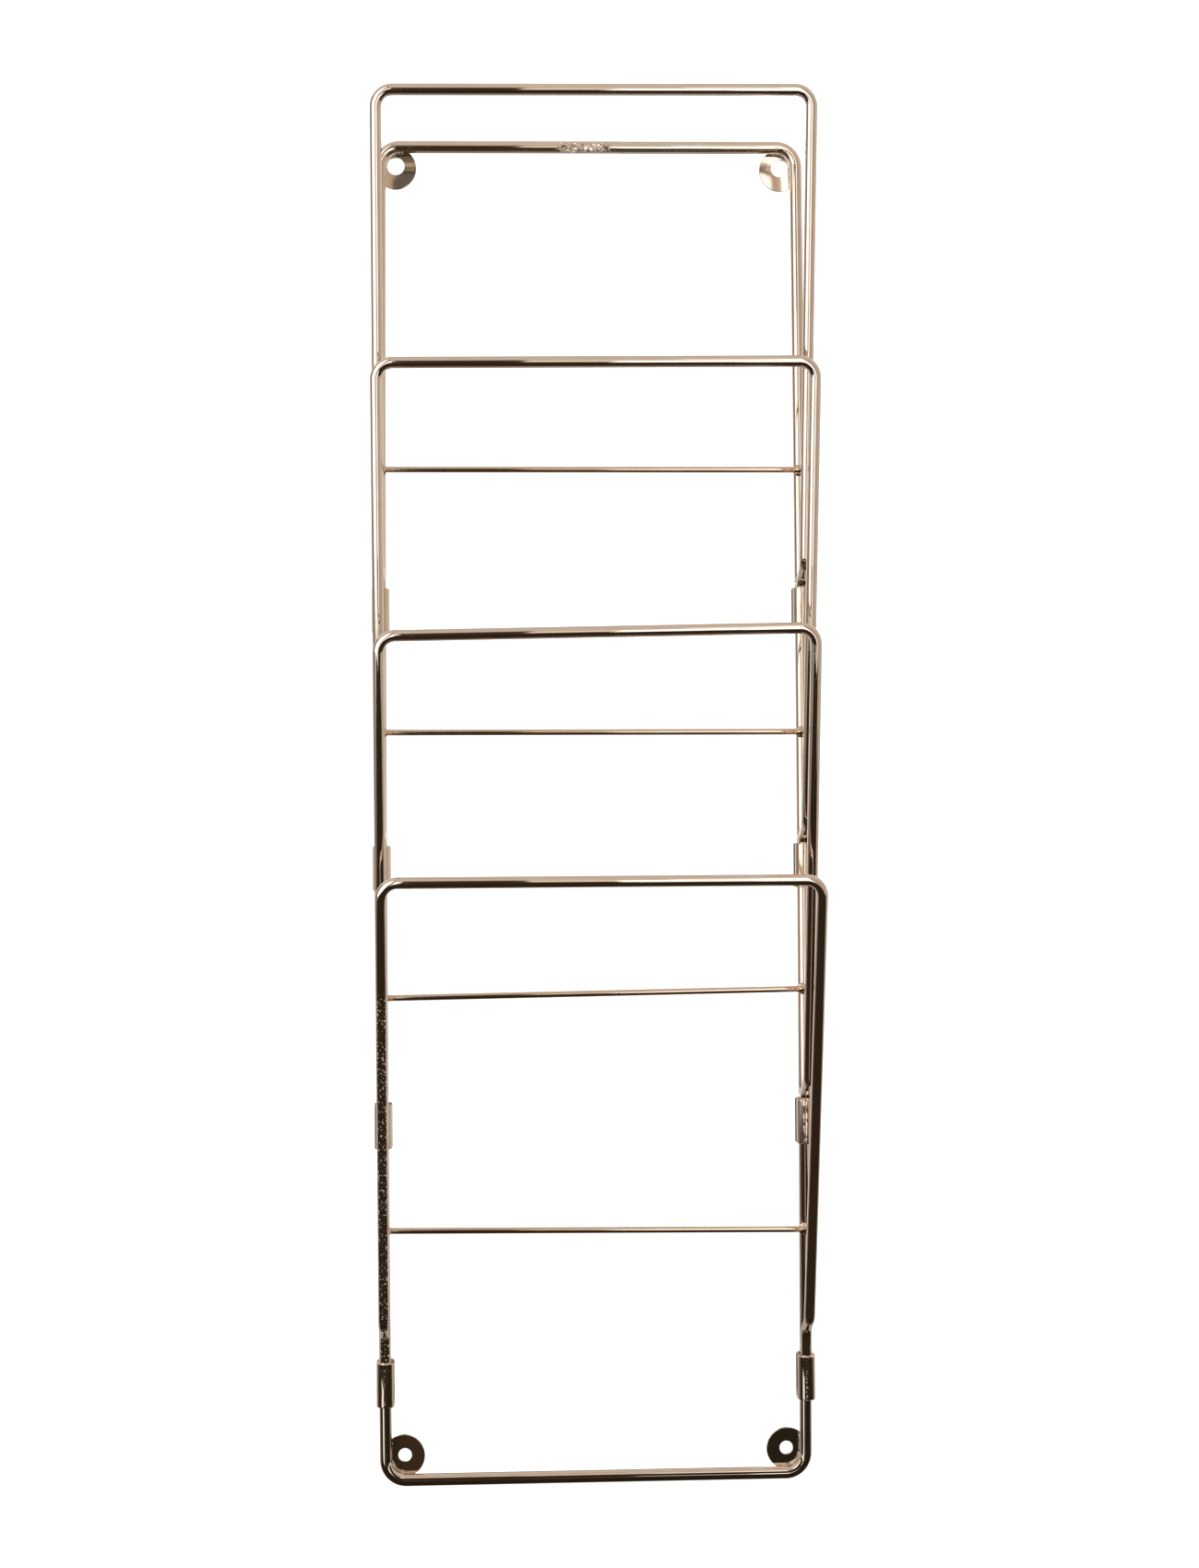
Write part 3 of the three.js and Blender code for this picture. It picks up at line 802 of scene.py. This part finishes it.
CARDS_Y = -1.12
WHITE, DARK = "#f2f6fb", "#f0c49c"
FRONT_CARDS = [
    # name, x from and to, z from and to, brightness, colour
    ("diffuser_left", -4.2, -0.43, -0.42, 1.5, 1.75, WHITE),
    ("diffuser_gap", -0.43, -0.27, -0.42, 1.5, 0.2, "#f8e0c8"),
    ("diffuser_near", -0.27, -0.16, -0.42, 0.52, 1.75, WHITE),
    ("diffuser_foot", -1.4, -0.65, -0.85, -0.42, 1.3, WHITE),
    ("dark_figure", -0.16, -0.02, -0.85, 0.52, 0.05, DARK),
    ("dark_figure_top", -0.20, -0.02, 0.52, 0.80, 0.14, "#f0e8d8"),
    ("dark_shoulder", -0.02, 0.09, -0.85, 0.02, 0.07, DARK),
    ("grey_middle", -0.02, 0.07, 0.02, 0.45, 0.95, "#fff6ea"),
    ("diffuser_right", 0.07, 0.235, -0.25, 0.45, 1.75, WHITE),
    ("diffuser_low", 0.21, 0.42, -0.55, -0.25, 1.75, WHITE),
    ("diffuser_high", 0.235, 0.42, -0.25, 0.95, 1.75, WHITE),
    ("diffuser_top", 0.14, 0.235, 0.56, 0.95, 1.2, WHITE),
    ("side_wall", 0.42, 5.0, -0.55, 1.5, 0.47, "#ffeee2"),
]
OTHER_CARDS = [
    # name, two opposite corners, brightness, colour
    ("far_left", (-4.2, CARDS_Y, -3.0), (-4.2, 2.6, 3.0), 0.22, "#fff6f2"),
    ("low_table", (-1.0, -1.10, -0.345), (0.75, -0.06, -0.345), 0.034, DARK),
    ("back_panel_left", (-1.25, 2.2, -0.9), (-0.45, 2.2, 1.4), 1.4, WHITE),
    ("back_panel_right", (0.5, 2.2, -0.9), (1.2, 2.2, 1.4), 1.4, WHITE),
    ("back_dark", (-0.30, 2.19, -0.9), (0.34, 2.19, 0.9), 0.06, DARK),
    ("dark_floor", (-2.4, -3.2, -0.85), (2.4, 0.35, -0.85), 0.024, "#e8d0a8"),
]
for name, left, right, bottom, top, brightness, colour in FRONT_CARDS:
    make_card(name, (left, CARDS_Y, bottom), (right, CARDS_Y, top), brightness, colour)
for name, low, high, brightness, colour in OTHER_CARDS:
    make_card(name, low, high, brightness, colour)
print("cards:", len(FRONT_CARDS) + len(OTHER_CARDS))

# %% [markdown]
# ## Camera
#
# A 55 mm lens stands about 1.4 m in front of the rack, a little left of its middle and turned towards it.
# Such a short distance makes the hoops' top bars look larger than the frame behind them. The colours are
# shown as they are, with no film curve, so the white stays white.

# %% Camera and colour
camera_data = bpy.data.cameras.new("camera")
camera_data.lens = 54.97
camera_data.sensor_width = 36.0
camera_data.clip_end = 100  # metres, past the floor's far edge
camera = bpy.data.objects.new("camera", camera_data)
bpy.context.scene.collection.objects.link(camera)
YAW, PITCH, ROLL = 0.0478, 0.0017, 0.0064  # radians
STANDPOINT = (-0.06285, -1.4056, 0.01226)
camera.matrix_world = (
    Matrix.Translation(STANDPOINT)
    @ Matrix.Rotation(-YAW, 4, "Z")
    @ Matrix.Rotation(math.pi / 2 + PITCH, 4, "X")
    @ Matrix.Rotation(-ROLL, 4, "Z")
)
bpy.context.scene.camera = camera
bpy.context.scene.view_settings.view_transform = "Standard"
print("camera at, m:", STANDPOINT)
